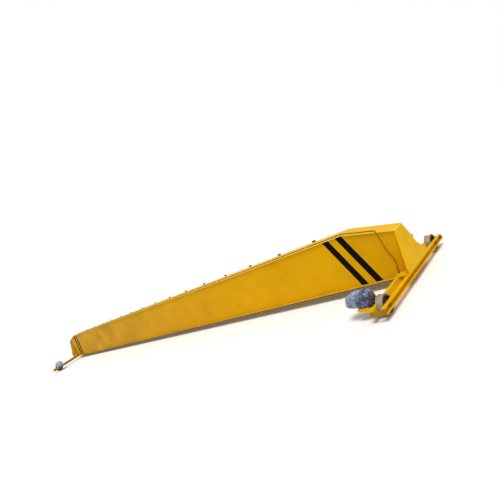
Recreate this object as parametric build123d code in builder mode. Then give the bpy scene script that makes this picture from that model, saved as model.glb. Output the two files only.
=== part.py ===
"""Single-girder overhead bridge crane: one box girder on two end carriages.

The bridge stands on its four travel wheels. X runs along the girder, the
drives are on the front side at -Y, Z is up, and the origin lies on the floor
under the middle of the girder.
"""
import os
from math import pi, radians, tan

from build123d import *

# Girder, in millimetres
bridge_length = 20200.0         # over the outer faces of the end plates
girder_depth = 1145.0           # over both flanges along the straight middle
girder_end_depth = 895.0        # over both flanges at the end plates
taper_length = 1050.0           # sloping stretch of the top flange at each end
box_width = 340.0               # over the outer faces of the two webs
web_thickness = 8.0
top_flange_width = 400.0
top_flange_thickness = 12.0
bottom_flange_width = 500.0     # its lips carry the hoist trolley
bottom_flange_thickness = 16.0
bottom_flange_drop = 85.0       # underside of the girder below the carriage top
end_plate_thickness = 12.0
front_foot_reach = 220.0        # end plate's foot in front of the front web
front_foot_toe = 100.0          # upright edge at the tip of that foot
back_foot_reach = 520.0         # end plate's foot behind the back web
back_foot_toe = 165.0
shoulder_run = 170.0            # straight stretch of the end plate's back edge, sideways
shoulder_drop = 330.0           # and downwards
shoulder_hollow = 90.0          # depth of the curve between that stretch and the foot
lifting_eye_radius = 38.0
lifting_eye_bore = 14.0
seat_plate_thickness = 12.0     # under the girder's ends, across both channels
cleat_pitch = 1125.0
cleat_shift = 230.0             # of the middle cleat from the middle of the girder
cleat_end_gap = 300.0           # least distance of a cleat from the fold of the top flange
cleat_width = 100.0
cleat_height = 64.0
cleat_thickness = 6.0
cleat_rise = 36.0               # part of the cleat above the top flange

# End carriages
carriage_length = 3200.0        # over the closing plates
carriage_width = 290.0          # over the toes of the two channels, which stand back to back
channel_height = 110.0
channel_flange_width = 75.0
channel_web_thickness = 6.0
channel_flange_thickness = 8.0
closing_plate_thickness = 10.0
closing_plate_height = 84.0
tie_plate_thickness = 10.0
tie_plate_offset = 300.0        # from the girder's middle to each tie plate
tie_plate_inset = 10.0          # below the top and above the bottom of the channels
wheel_end_distance = 290.0      # from a wheel's middle to the end of the carriage

# Travel wheels
wheel_tread_radius = 165.0
wheel_flange_radius = 182.5
wheel_width = 116.0
wheel_tread_width = 80.0
wheel_hub_radius = 58.0
wheel_rim_depth = 26.0          # thickness of the rim under the tread
wheel_disc_thickness = 30.0
axle_radius = 30.0
running_clearance = 0.05
bearing_cap_radius = 44.0
bearing_cap_thickness = 22.0
axle_end_depth = 12.0           # depth of the axle's end in a bearing cap

# Drives
gear_case_thickness = 130.0
gear_case_axle_radius = 88.0
gear_case_motor_radius = 108.0
gear_case_edge = 14.0
gear_case_bore_depth = 96.0
case_joint_height = 9.0         # flanged joint round the middle of the gear case
case_joint_width = 26.0
case_nose_radius = 44.0         # nose round the axle, between the channel's flanges
motor_rise = 157.5              # motor shaft above the driven axle
motor_spigot_radius = 78.0
motor_spigot_length = 26.0
stator_radius = 84.0
stator_length = 210.0
fin_height = 13.0
fin_thickness = 4.0
fin_count = 28
motor_foot_spread = 150.0       # over the outer sides of the two feet
motor_foot_length = 120.0
fan_cowl_radius = 100.0
fan_cowl_length = 120.0
fan_cowl_round = 26.0
terminal_box_length = 130.0
terminal_box_width = 108.0
terminal_box_height = 62.0
bracket_length = 290.0          # inwards from the carriage
bracket_root_depth = 90.0
bracket_tip_depth = 45.0
bracket_width = 300.0
bracket_plate = 10.0
film_thickness = 4.0            # the plastic film over the drive, with its air
film_half_width = 150.0
film_crown = 170.0              # top of the film above the motor shaft
film_overhang = 38.0            # film beyond the fan cowl
film_hang = 68.0                # film below the deck at the motor's tail
film_slope = 80.0               # slanting corners of the film at its tail
film_round = 70.0
film_seat_gap = 0.4

# Cable on the girder
cable_diameter = 16.0
cable_edge_inset = 60.0         # from the top flange's front edge to the cable
cable_lift = 3.0                # daylight under the cable between its clips
cable_run_gap = 480.0           # from the end of the girder to where the cable leaves its clips
cable_fold_radius = 400.0       # over the fold of the top flange
bend_share = 0.45               # share of a run that the arc at its end may take
clip_length = 24.0
clip_width = 46.0
clip_height = 25.0
clip_clearance = 0.3
gland_radius = 15.0
gland_height = 34.0
gland_inset = 24.0              # from the carriage's inner side to the gland
gland_reach = 36.0              # from the front web to the gland

# Levels and faces worked out from the sizes above
axle_height = wheel_flange_radius
carriage_top = axle_height + channel_height / 2
carriage_bottom = axle_height - channel_height / 2
outer_face = bridge_length / 2
inner_face = outer_face - carriage_width
plate_face = outer_face - end_plate_thickness
wheel_middle = outer_face - carriage_width / 2
wheel_offset = carriage_length / 2 - wheel_end_distance
outer_web_face = outer_face - channel_flange_width + channel_web_thickness
inner_web_face = inner_face + channel_flange_width - channel_web_thickness
seat_top = carriage_top + seat_plate_thickness
front_foot_tip = -box_width / 2 - front_foot_reach
back_foot_tip = box_width / 2 + back_foot_reach
channel_length = carriage_length - 2 * closing_plate_thickness
girder_bottom = carriage_top - bottom_flange_drop
bottom_flange_top = girder_bottom + bottom_flange_thickness
girder_top = girder_bottom + girder_depth
girder_end_top = girder_bottom + girder_end_depth
bend_x = outer_face - taper_length
cleat_count = 2 * int((bend_x - cleat_end_gap) / cleat_pitch) + 1
slope = (girder_top - girder_end_top) / taper_length
bore_radius = axle_radius + running_clearance
motor_height = axle_height + motor_rise
gear_case_face = inner_face - gear_case_thickness
spigot_face = gear_case_face - motor_spigot_length
stator_face = spigot_face - stator_length
cowl_face = stator_face - fan_cowl_length
deck_top = carriage_top
drive_y = -wheel_offset


def top_of_flange(x):
    """Height of the top flange's upper face at a place along the girder."""
    return girder_top - slope * max(0.0, abs(x) - bend_x)


def save(piece, name):
    """Label a finished piece and write it under its node name."""
    piece.label = name
    export_step(piece, f"parts/{name}.step")


def save_both_ends(piece, name):
    """Write a right-hand piece and its mirror image at the left end."""
    save(piece, f"{name}_right")
    save(mirror(piece, about=Plane.YZ), f"{name}_left")


os.makedirs("parts", exist_ok=True)

# Girder webs, notched at their lower corners to stand on the seat plates
for name, web_outer_y in (("girder_web_front", -box_width / 2), ("girder_web_back", box_width / 2 - web_thickness)):
    with BuildPart() as web:
        with BuildSketch(Plane.XZ.offset(-web_outer_y)):
            with BuildLine():
                half_outline = Polyline(
                    (0, bottom_flange_top),
                    (inner_face, bottom_flange_top),
                    (inner_face, seat_top),
                    (plate_face, seat_top),
                    (plate_face, top_of_flange(plate_face) - top_flange_thickness),
                    (bend_x, girder_top - top_flange_thickness),
                    (0, girder_top - top_flange_thickness),
                )
                mirror(half_outline, about=Plane.YZ)
            make_face()
        extrude(amount=-web_thickness)
    save(web.part, name)

# Top flange: a straight plate and a sloping one welded to it at each end
with BuildPart() as top_flange:
    with Locations((0, 0, girder_top)):
        Box(2 * bend_x, top_flange_width, top_flange_thickness, align=(Align.CENTER, Align.CENTER, Align.MAX))
save(top_flange.part, "girder_top_flange")

with BuildPart() as sloping_flange:
    with BuildSketch(Plane.XZ):
        with BuildLine():
            Polyline(
                (bend_x, girder_top),
                (outer_face, girder_end_top),
                (outer_face, girder_end_top - top_flange_thickness),
                (bend_x, girder_top - top_flange_thickness),
                close=True,
            )
        make_face()
    extrude(amount=top_flange_width / 2, both=True)
save_both_ends(sloping_flange.part, "girder_sloping_flange")

# Bottom flange between the carriages, wider than the box
with BuildPart() as bottom_flange:
    with Locations((0, 0, girder_bottom)):
        Box(2 * inner_face, bottom_flange_width, bottom_flange_thickness,
            align=(Align.CENTER, Align.CENTER, Align.MIN))
save(bottom_flange.part, "girder_bottom_flange")

# End plate, flared to a short foot in front and a hollowed one behind, with a lifting eye
with BuildPart() as end_plate:
    plate_top = girder_end_top - top_flange_thickness
    shoulder = (top_flange_width / 2 + shoulder_run, plate_top - shoulder_drop)
    foot_edge = (back_foot_tip, seat_top + back_foot_toe)
    chord = Vector(*foot_edge) - Vector(*shoulder)
    hollow = Vector(chord.Y, -chord.X).normalized() * shoulder_hollow
    with BuildSketch(Plane.YZ.offset(plate_face)):
        with BuildLine():
            ThreePointArc(shoulder, Vector(*shoulder) + chord / 2 + hollow, foot_edge)
            Polyline(
                foot_edge,
                (back_foot_tip, seat_top),
                (front_foot_tip, seat_top),
                (front_foot_tip, seat_top + front_foot_toe),
                (-box_width / 2, plate_top),
                (top_flange_width / 2, plate_top),
                shoulder,
            )
        make_face()
        with Locations(shoulder):
            Circle(lifting_eye_radius)
            Circle(lifting_eye_bore, mode=Mode.SUBTRACT)
    extrude(amount=end_plate_thickness)
save_both_ends(end_plate.part, "girder_end_plate")

# Seat plate across both channels, under the girder and the end plate's feet
with BuildPart() as seat_plate:
    with Locations((inner_face, front_foot_tip, carriage_top)):
        Box(carriage_width, back_foot_tip - front_foot_tip, seat_plate_thickness,
            align=(Align.MIN, Align.MIN, Align.MIN))
save_both_ends(seat_plate.part, "carriage_seat_plate")

# Cleats along the back edge of the top flange
with BuildPart() as cleats:
    first_cleat = cleat_shift - cleat_pitch * (cleat_count - 1) / 2
    for number in range(cleat_count):
        place = (first_cleat + number * cleat_pitch, top_flange_width / 2, girder_top + cleat_rise)
        with Locations(place):
            Box(cleat_width, cleat_thickness, cleat_height, align=(Align.CENTER, Align.MIN, Align.MAX))
save(cleats.part, "flange_cleats")

# The two channels of a carriage, back to back with the wheels between them, bored for the axles
for name, toe_x, inwards in (("outer", outer_face, -1), ("inner", inner_face, 1)):
    back_x = toe_x + inwards * channel_flange_width
    web_x = back_x - inwards * channel_web_thickness
    with BuildPart() as channel:
        with BuildSketch(Plane.XZ):
            with BuildLine():
                Polyline(
                    (toe_x, carriage_bottom),
                    (back_x, carriage_bottom),
                    (back_x, carriage_top),
                    (toe_x, carriage_top),
                    (toe_x, carriage_top - channel_flange_thickness),
                    (web_x, carriage_top - channel_flange_thickness),
                    (web_x, carriage_bottom + channel_flange_thickness),
                    (toe_x, carriage_bottom + channel_flange_thickness),
                    close=True,
                )
            make_face()
        extrude(amount=channel_length / 2, both=True)
        with BuildSketch(Plane.YZ.offset(web_x)):
            with Locations((-wheel_offset, axle_height), (wheel_offset, axle_height)):
                Circle(bore_radius)
        extrude(amount=inwards * channel_web_thickness, mode=Mode.SUBTRACT)
    save_both_ends(channel.part, f"carriage_{name}_channel")

# Closing plates across the ends of the channels
for name, face_y in (("front", -carriage_length / 2), ("back", carriage_length / 2 - closing_plate_thickness)):
    with BuildPart() as closing_plate:
        with Locations((wheel_middle, face_y, carriage_bottom)):
            Box(carriage_width, closing_plate_thickness, closing_plate_height,
                align=(Align.CENTER, Align.MIN, Align.MIN))
    save_both_ends(closing_plate.part, f"carriage_{name}_plate")

# Tie plates between the channels on both sides of the girder
with BuildPart() as tie_plates:
    with Locations((wheel_middle, -tie_plate_offset, axle_height), (wheel_middle, tie_plate_offset, axle_height)):
        Box(carriage_width - 2 * channel_flange_width, tie_plate_thickness,
            channel_height - 2 * tie_plate_inset)
save_both_ends(tie_plates.part, "carriage_tie_plates")

# Bearing caps on the webs; the driven axle passes into the gear case instead of an inner cap
with BuildPart() as bearing_caps:
    cap_places = (
        (outer_web_face, -wheel_offset, 1),
        (outer_web_face, wheel_offset, 1),
        (inner_web_face, wheel_offset, -1),
    )
    for face_x, cap_y, outwards in cap_places:
        with BuildSketch(Plane.YZ.offset(face_x)):
            with Locations((cap_y, axle_height)):
                Circle(bearing_cap_radius)
        extrude(amount=outwards * bearing_cap_thickness)
        with BuildSketch(Plane.YZ.offset(face_x)):
            with Locations((cap_y, axle_height)):
                Circle(bore_radius)
        extrude(amount=outwards * (axle_end_depth + running_clearance), mode=Mode.SUBTRACT)
save_both_ends(bearing_caps.part, "bearing_caps")

# Double-flanged travel wheels on their axles
for name, wheel_y in (("front", -wheel_offset), ("back", wheel_offset)):
    wheel_plane = Plane(origin=(wheel_middle, wheel_y, axle_height), x_dir=(1, 0, 0), z_dir=(0, -1, 0))
    axle_line = Axis((wheel_middle, wheel_y, axle_height), (1, 0, 0))
    with BuildPart() as wheel:
        with BuildSketch(wheel_plane):
            with BuildLine():
                rim_radius = wheel_tread_radius - wheel_rim_depth
                half_section = Polyline(
                    (0, bore_radius),
                    (wheel_width / 2, bore_radius),
                    (wheel_width / 2, wheel_hub_radius),
                    (wheel_disc_thickness / 2, wheel_hub_radius),
                    (wheel_disc_thickness / 2, rim_radius),
                    (wheel_width / 2, rim_radius),
                    (wheel_width / 2, wheel_flange_radius),
                    (wheel_tread_width / 2 + (wheel_width - wheel_tread_width) / 8, wheel_flange_radius),
                    (wheel_tread_width / 2, wheel_tread_radius),
                    (0, wheel_tread_radius),
                )
                mirror(half_section, about=Plane.YZ)
            make_face()
        revolve(axis=axle_line)
    save_both_ends(wheel.part, f"wheel_{name}")

    axle_outer_end = outer_web_face + axle_end_depth
    axle_inner_end = inner_face - gear_case_bore_depth if wheel_y == drive_y else inner_web_face - axle_end_depth
    with BuildPart() as axle:
        with BuildSketch(Plane.YZ.offset(axle_inner_end)):
            with Locations((wheel_y, axle_height)):
                Circle(axle_radius)
        extrude(amount=axle_outer_end - axle_inner_end)
    save_both_ends(axle.part, f"axle_{name}")

# Gear case on the driven axle, with a flanged joint and a nose that seats on the channel's web
with BuildPart() as gear_case:
    case_middle = (gear_case_face + inner_face) / 2
    for case_face, thickness, rise in (
        (gear_case_face, gear_case_thickness, 0),
        (case_middle - case_joint_width / 2, case_joint_width, case_joint_height),
    ):
        with BuildSketch(Plane.YZ.offset(case_face)):
            with Locations((drive_y, axle_height)):
                Circle(gear_case_axle_radius + rise)
            with Locations((drive_y, motor_height)):
                Circle(gear_case_motor_radius + rise)
            make_hull()
        extrude(amount=thickness)
        if not rise:
            fillet(gear_case.faces().sort_by(Axis.X)[0].edges(), gear_case_edge)
    with BuildSketch(Plane.YZ.offset(inner_face)):
        with Locations((drive_y, axle_height)):
            Circle(case_nose_radius)
    extrude(amount=inner_web_face - inner_face)
    with BuildSketch(Plane.YZ.offset(inner_web_face)):
        with Locations((drive_y, axle_height)):
            Circle(bore_radius)
    extrude(amount=inner_face - inner_web_face - gear_case_bore_depth - running_clearance, mode=Mode.SUBTRACT)
save_both_ends(gear_case.part, "gear_case")

# Finned motor body with its spigot, feet and terminal seat
with BuildPart() as motor:
    with BuildSketch(Plane.YZ.offset(gear_case_face)):
        with Locations((drive_y, motor_height)):
            Circle(motor_spigot_radius)
    extrude(amount=-motor_spigot_length)
    with BuildSketch(Plane.YZ.offset(spigot_face)):
        with Locations((drive_y, motor_height)):
            Circle(stator_radius)
            with PolarLocations(stator_radius, fin_count):
                Rectangle(2 * fin_height, fin_thickness)
        with Locations((drive_y, motor_height)):
            Rectangle(terminal_box_width, stator_radius + fin_height, align=(Align.CENTER, Align.MIN))
    extrude(amount=-stator_length)
    with BuildSketch(Plane.YZ.offset(spigot_face)):
        with Locations((drive_y, deck_top)):
            Rectangle(motor_foot_spread, motor_height - deck_top - stator_radius / 2, align=(Align.CENTER, Align.MIN))
    extrude(amount=-motor_foot_length)
save_both_ends(motor.part, "drive_motor")

# Fan cowl on the motor's tail
with BuildPart() as fan_cowl:
    with BuildSketch(Plane.YZ.offset(stator_face)):
        with Locations((drive_y, motor_height)):
            Circle(fan_cowl_radius)
    extrude(amount=-fan_cowl_length)
    fillet(fan_cowl.faces().sort_by(Axis.X)[0].edges(), fan_cowl_round)
save_both_ends(fan_cowl.part, "fan_cowl")

# Terminal box on the motor's seat
with BuildPart() as terminal_box:
    box_middle = spigot_face - stator_length / 2
    with Locations((box_middle, drive_y, motor_height + stator_radius + fin_height)):
        Box(terminal_box_length, terminal_box_width, terminal_box_height,
            align=(Align.CENTER, Align.CENTER, Align.MIN))
    fillet(terminal_box.edges().filter_by(Axis.Z), 8)
save_both_ends(terminal_box.part, "terminal_box")

# Motor bracket: a deck under the motor on two tapered stringers let into the inner channel
with BuildPart() as bracket:
    bracket_tip = inner_face - bracket_length
    with Locations((gear_case_face - film_seat_gap, drive_y, deck_top)):
        Box(gear_case_face - film_seat_gap - bracket_tip, bracket_width, bracket_plate,
            align=(Align.MAX, Align.CENTER, Align.MAX))
    for stringer_y in (drive_y - bracket_width / 2, drive_y + bracket_width / 2 - bracket_plate):
        with BuildSketch(Plane.XZ.offset(-stringer_y)):
            with BuildLine():
                Polyline(
                    (bracket_tip, deck_top),
                    (inner_face, deck_top),
                    (inner_face, deck_top - channel_flange_thickness),
                    (inner_web_face, deck_top - channel_flange_thickness),
                    (inner_web_face, deck_top - bracket_root_depth),
                    (inner_face, deck_top - bracket_root_depth),
                    (bracket_tip, deck_top - bracket_tip_depth),
                    close=True,
                )
            make_face()
        extrude(amount=-bracket_plate)
save_both_ends(bracket.part, "motor_bracket")

# Plastic film over the drive: it stands on the bracket, hangs down behind it and is open below
film_front = inner_face - film_seat_gap
film_tail = cowl_face - film_overhang
film_step = bracket_tip - film_seat_gap
film_base = deck_top + film_seat_gap
film_low = deck_top - film_hang
film_top = motor_height + film_crown


def film_shape(inset):
    """The film's outer shape, or the space inside it at an inset of its thickness."""
    corner = film_slope + inset * (2**0.5 - 1)
    with BuildPart() as shape:
        with BuildSketch(Plane.XZ.offset(-drive_y)):
            with BuildLine():
                Polyline(
                    (film_front, film_base),
                    (film_front, film_top - inset),
                    (film_tail + corner, film_top - inset),
                    (film_tail + inset, film_top - corner),
                    (film_tail + inset, film_low + corner),
                    (film_tail + corner + inset, film_low),
                    (film_step - inset, film_low),
                    (film_step - inset, film_base),
                    close=True,
                )
            make_face()
        extrude(amount=film_half_width - inset, both=True)
        fillet(shape.faces().sort_by(Axis.Z)[-1].edges().filter_by(Axis.X), film_round - inset)
    return shape.part


with BuildPart() as film:
    add(film_shape(0))
    add(film_shape(film_thickness), mode=Mode.SUBTRACT)
save_both_ends(film.part, "motor_film")


def cable_level(x):
    """Height of the cable's middle over the top flange."""
    return top_of_flange(x) + cable_diameter / 2 + cable_lift


def bend_radii(points):
    """Largest arc at each corner of a route that its two runs allow."""
    corners = [Vector(*point) for point in points]
    radii = []
    for before, corner, after in zip(corners, corners[1:], corners[2:]):
        arriving = corner - before
        leaving = after - corner
        turn = radians(arriving.get_angle(leaving))
        radii.append(bend_share * min(arriving.length, leaving.length) / tan(turn / 2))
    return radii


def tube_along(points, radii):
    """Round tube along straight runs joined by tangent arcs."""
    with BuildPart() as tube:
        with BuildLine() as route:
            FilletPolyline(*points, radius=radii)
        path = route.wires()[0]
        with BuildSketch(Plane(origin=path @ 0, z_dir=path % 0)):
            Circle(cable_diameter / 2)
        sweep(path=path)
    length = path.length
    share = tube.part.volume / (pi * (cable_diameter / 2) ** 2 * length)
    print(f"cable of {length:.0f} mm, volume over section times length {share:.4f}, "
          f"smallest radius {min(radii):.0f} mm")
    return tube.part


# Cable clipped along the top flange from drop to drop
cable_y = -top_flange_width / 2 + cable_edge_inset
cable_run_end = outer_face - cable_run_gap
run_points = [
    (-cable_run_end, cable_y, cable_level(cable_run_end)),
    (-bend_x, cable_y, cable_level(bend_x)),
    (bend_x, cable_y, cable_level(bend_x)),
    (cable_run_end, cable_y, cable_level(cable_run_end)),
]
save(tube_along(run_points, [cable_fold_radius, cable_fold_radius]), "cable_run")

# Saddle clips that hold the cable on the flange
with BuildPart() as clips:
    for number in range(cleat_count):
        clip_x = first_cleat + number * cleat_pitch
        with Locations((clip_x, cable_y, girder_top)):
            Box(clip_length, clip_width, clip_height, align=(Align.CENTER, Align.CENTER, Align.MIN))
        with BuildSketch(Plane.YZ.offset(clip_x - clip_length)):
            with Locations((cable_y, cable_level(0))):
                Circle(cable_diameter / 2 + clip_clearance)
        extrude(amount=2 * clip_length, mode=Mode.SUBTRACT)
save(clips.part, "cable_clips")

# Free cable over the flange's front edge and down the web to its gland: distance from the girder's
# end, reach in front of the middle, and height over the flange or over the seat plate
flange_stretch = (
    (cable_run_gap, -cable_y, 0), (cable_run_gap - 55, -cable_y, 0), (380, 155, 8), (344, 184, 18),
    (320, 217, 4), (306, 240, -34), (298, 246, -92),
)
web_stretch = (
    (294, 225, 711.5), (299, 207, 610.5), (305, 196, 508.5), (284, 195, 420.5), (250, 196, 330.5),
    (238, 197, 240.5), (235, 200, 180.5), (242, 203, 135.5), (255, 205, 100.5),
)
gland_x = inner_face + gland_inset
gland_y = -box_width / 2 - gland_reach
gland_top = seat_top + gland_height
drop_points = [
    *((outer_face - gap, -reach, cable_level(outer_face - gap) + rise) for gap, reach, rise in flange_stretch),
    *((outer_face - gap, -reach, seat_top + rise) for gap, reach, rise in web_stretch),
    (gland_x, gland_y, gland_top + 38.5),
    (gland_x, gland_y, gland_top),
]
drop_radii = bend_radii(drop_points)
save_both_ends(tube_along(drop_points, drop_radii), "cable_drop")

# Gland that takes the cable into the carriage
with BuildPart() as gland:
    with Locations((gland_x, gland_y, seat_top)):
        Cylinder(gland_radius, gland_height, align=(Align.CENTER, Align.CENTER, Align.MIN))
    chamfer(gland.faces().sort_by(Axis.Z)[-1].edges(), gland_radius - cable_diameter / 2 - 1)
save_both_ends(gland.part, "cable_gland")
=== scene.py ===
"""Looks of a single-girder overhead bridge crane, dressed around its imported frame.

The file is laid out as an add-on with one operator for each group of pieces.
Run as a script, it builds the whole scene once, in metres, in the frame of the
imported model: X along the girder, the drives on the front side at -Y, Z up.
"""
import math
from contextlib import contextmanager

import bpy
from bpy.props import FloatProperty, FloatVectorProperty, IntProperty, PointerProperty
from mathutils import Matrix, Quaternion, Vector


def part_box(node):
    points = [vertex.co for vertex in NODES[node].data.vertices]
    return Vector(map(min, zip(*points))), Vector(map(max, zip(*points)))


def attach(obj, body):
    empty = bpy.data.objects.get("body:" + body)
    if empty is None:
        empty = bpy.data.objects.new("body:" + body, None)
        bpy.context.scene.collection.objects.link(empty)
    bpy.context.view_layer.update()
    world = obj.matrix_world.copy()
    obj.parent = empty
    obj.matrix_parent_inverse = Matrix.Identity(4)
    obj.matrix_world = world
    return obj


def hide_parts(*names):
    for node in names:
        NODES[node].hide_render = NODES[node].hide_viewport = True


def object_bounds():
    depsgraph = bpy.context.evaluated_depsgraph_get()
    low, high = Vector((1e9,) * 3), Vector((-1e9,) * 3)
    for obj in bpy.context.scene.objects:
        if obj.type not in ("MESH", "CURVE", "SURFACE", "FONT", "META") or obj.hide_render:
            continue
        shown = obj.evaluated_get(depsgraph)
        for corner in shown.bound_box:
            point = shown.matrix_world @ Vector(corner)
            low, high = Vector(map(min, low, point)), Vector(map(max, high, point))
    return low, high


bl_info = {
    "name": "Bridge Crane Looks",
    "version": (1, 0, 0),
    "blender": (4, 5, 0),
    "location": "3D View > Sidebar > Crane",
    "description": "Finishes, welds, bolts, film and cables of a single-girder bridge crane",
    "category": "Object",
}

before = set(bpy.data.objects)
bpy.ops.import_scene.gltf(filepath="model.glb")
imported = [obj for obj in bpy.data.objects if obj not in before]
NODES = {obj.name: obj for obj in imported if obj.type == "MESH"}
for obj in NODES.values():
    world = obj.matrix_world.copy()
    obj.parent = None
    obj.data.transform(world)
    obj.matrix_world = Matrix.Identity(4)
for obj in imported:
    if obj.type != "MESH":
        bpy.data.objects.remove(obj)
CAD_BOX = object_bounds()
ENDS = (("right", 1), ("left", -1))
WEB_LOW, WEB_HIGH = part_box("girder_web_front")
TOP_LOW, TOP_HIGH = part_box("girder_top_flange")
SLOPE_LOW, SLOPE_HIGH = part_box("girder_sloping_flange_right")
SEAT_LOW, SEAT_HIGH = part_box("carriage_seat_plate_right")
BOTTOM_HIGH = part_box("girder_bottom_flange")[1]
CHANNEL_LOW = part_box("carriage_inner_channel_right")[0]
CLOSING_LOW, CLOSING_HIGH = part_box("carriage_front_plate_right")
WHEEL_LOW, WHEEL_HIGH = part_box("wheel_front_right")
WHEEL_MIDDLE = (WHEEL_LOW + WHEEL_HIGH) / 2
AXLE_HEIGHT = WHEEL_MIDDLE.z
WHEEL_OFFSET = abs(WHEEL_MIDDLE.y)
CASE_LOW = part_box("gear_case_right")[0]
COWL_LOW, COWL_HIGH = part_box("fan_cowl_right")
MOTOR_HEIGHT = (COWL_LOW.z + COWL_HIGH.z) / 2
CAP_LOW, CAP_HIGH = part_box("bearing_caps_right")
BRACKET_LOW, BRACKET_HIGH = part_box("motor_bracket_right")

# Wheels and fastenings: lengths in metres, shares of the piece that they sit on
WHEEL_FLANGE_RISE = 0.0175  # of a wheel's flanges over its tread
TREAD_FADE = (0.004, 0.001)  # depths under the tread where its shine starts and is full
HUB_GREASE = (0.085, 0.05)  # radii where the grease at a hub ends and is full
CLOSING_BOLTS_ACROSS = (0.12, 0.88)
CLOSING_BOLTS_UP = (0.28, 0.72)
COVER_STEPS = ((0.30, 0.0), (0.06, -0.45), (0.20, 0.0), (0.07, 0.75), (0.09, 0.0), (0.06, -0.3))
COVER_EDGE = 0.0012  # rounding of a cover's edges
COVER_SMOOTHING = math.radians(35)
COVER_BOLTS = 8
COVER_BOLT_CIRCLE = 0.85  # of the cover's radius
CASE_BOLT_INSET = 0.037  # from a gear case's lowest point to its bolt circle
CASE_BOLT_ANGLES = (185, 230, 270, 310, 355)
BEAD_TAPER = 0.62  # of a weld's radius, at the thin end of a ripple
BEAD_OVERLAP = 1.5  # length of a ripple, of the pitch
BEAD_EDGE = 0.15  # rounding of a ripple, of the weld's radius

# Enamel: the painted shade towards the left end lies in shares of half the crane's length
SHADE_START = 0.55  # right of the middle
SHADE_FULL = 0.35  # left of the middle
SHADE_MOST = 0.6  # cover where it is full
BAR_FADE = 0.001  # soft edge of a hazard bar, in metres

# Packing film: lengths in metres, shares of its box
FILM_FILL = 0.92  # of the box, before it crumples
FILM_ROUND = 0.37  # rounding of the lump, of its width
FILM_MERGE = 0.0005  # points this close become one
FILM_TAIL_REACH = 0.35  # of the length that narrows towards the tail
FILM_TAIL_WIDTH = 0.82
FILM_TAIL_LEVEL = 0.66  # height towards which the tail narrows
FILM_CRUMPLES = (("CLOUDS", 0.16, 0.050), ("MUSGRAVE", 0.15, 0.016))
FILM_CLOTH = {
    "quality": 6, "mass": 0.05, "tension_stiffness": 12.0, "compression_stiffness": 12.0,
    "shear_stiffness": 4.0, "bending_stiffness": 0.2, "air_damping": 6.0, "use_pressure": True,
    "uniform_pressure_force": -0.4,
}
FILM_FRAMES = 20  # of the cloth run
FILM_FINE = 0.75  # last mesh cell, as a share of the first
FILM_SMOOTHING = math.radians(50)
FILM_MARGIN = 0.001  # inside the film's box
FILM_CROWN = 0.006  # that folds may stand over the box
DECK_GAP = 0.0006  # of the film over the bracket's deck
DECK_EDGE = 0.002  # from the bracket's tip to where the film may hang down
CLING_START = 0.16  # from the fan cowl's end to where the film starts to cling
COVERED_CELL = 0.008  # mesh cell of the wrapping under the film
COVERED_SWELL = 0.006  # by which that wrapping is thicker than the drive

# Stage
PHOTO_WIDTH = 500.0  # pixels
SENSOR_WIDTH = 36.0  # millimetres
VIEW_REACH = 1000.0  # metres
KEY_DIRECTION = (-0.36, 0.31, -0.88)
KEY_SPREAD = math.radians(25)


# Sizes and colours that a user would change

def colour(name, description, value):
    """Colour setting in scene-linear values."""
    return FloatVectorProperty(name=name, description=description, subtype="COLOR", size=3,
                               min=0.0, max=1.0, default=value)


def length(name, description, value):
    """Length setting in metres."""
    return FloatProperty(name=name, description=description, subtype="DISTANCE", unit="LENGTH",
                         default=value)


class CraneColours(bpy.types.PropertyGroup):
    """Colours of the crane's paints, metals and film."""

    web_enamel: colour("Web enamel", "Yellow enamel on the webs", (0.73, 0.366, 0.0012))
    # painted light: a brighter copy of the web enamel for end plates and carriages
    lit_plate_enamel: colour("Plate enamel", "Yellow enamel on end plates and carriages",
                         (0.79, 0.435, 0.0015))
    # painted light: a brighter copy of the web enamel for the top flange
    lit_flange_enamel: colour("Flange enamel", "Yellow enamel on the top flange", (0.78, 0.440, 0.0016))
    lip_enamel: colour("Lip enamel", "Dusty enamel on the lips of the bottom flange",
                       (0.50, 0.31, 0.032))
    # partly soot, partly painted shade: darkened enamel on closing plates, caps and bolts
    soot_and_shade_enamel: colour("Worn enamel", "Rubbed, sooty enamel on closing plates and caps",
                        (0.38, 0.20, 0.010))
    # also used as the painted shadow on the lip edges
    bar: colour("Hazard bar", "Black bars on the webs", (0.006, 0.0045, 0.003))
    grime: colour("Grime", "Brown grime in corners and runs", (0.24, 0.105, 0.008))
    dust: colour("Dust", "Pale dust on the enamel", (0.70, 0.425, 0.008))
    # painted shade: brown tone that the enamel takes towards the left end, where less light falls
    left_shade: colour("Haze", "Brown dust on the enamel towards the left end", (0.37, 0.205, 0.020))
    soil: colour("Soil", "Brown dust on castings and cables", (0.19, 0.14, 0.095))
    primer: colour("Primer", "Red oxide under chipped paint", (0.16, 0.055, 0.03))
    cast_grey: colour("Cast grey", "Dark paint of the gear cases", (0.048, 0.043, 0.042))
    motor_blue: colour("Motor blue", "Paint of the motors", (0.02, 0.045, 0.17))
    film_pale: colour("Pale film", "Film standing off the motor", (0.25, 0.305, 0.47))
    film_deep: colour("Deep film", "Film lying on the motor", (0.014, 0.024, 0.085))
    # painted highlight: pale tone on the ridges of the film's folds
    film_crease_highlight: colour("Creased film", "Film whitened along its creases", (0.56, 0.61, 0.74))
    iron: colour("Iron", "Cast flanks of the wheels", (0.085, 0.058, 0.044))
    tread: colour("Tread", "Worn, rusty treads of the wheels", (0.42, 0.325, 0.235))
    bright: colour("Bright steel", "Turned axles and bolts", (0.46, 0.44, 0.42))
    grease: colour("Grease", "Dark grease at the axles", (0.022, 0.018, 0.014))
    mill: colour("Mill steel", "Dull steel of the cleats", (0.12, 0.075, 0.035))
    # painted highlight on the upright edges of the top flange
    edge_highlight: colour("Pale edge", "Rubbed edges of the top flange", (0.98, 0.70, 0.15))
    sheath: colour("Sheath", "Rubber sheath of the cable", (0.20, 0.082, 0.004))
    gland: colour("Gland", "Moulded cable glands", (0.02, 0.02, 0.02))
    floor: colour("Floor", "Plain pale floor", (0.90, 0.90, 0.90))


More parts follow.
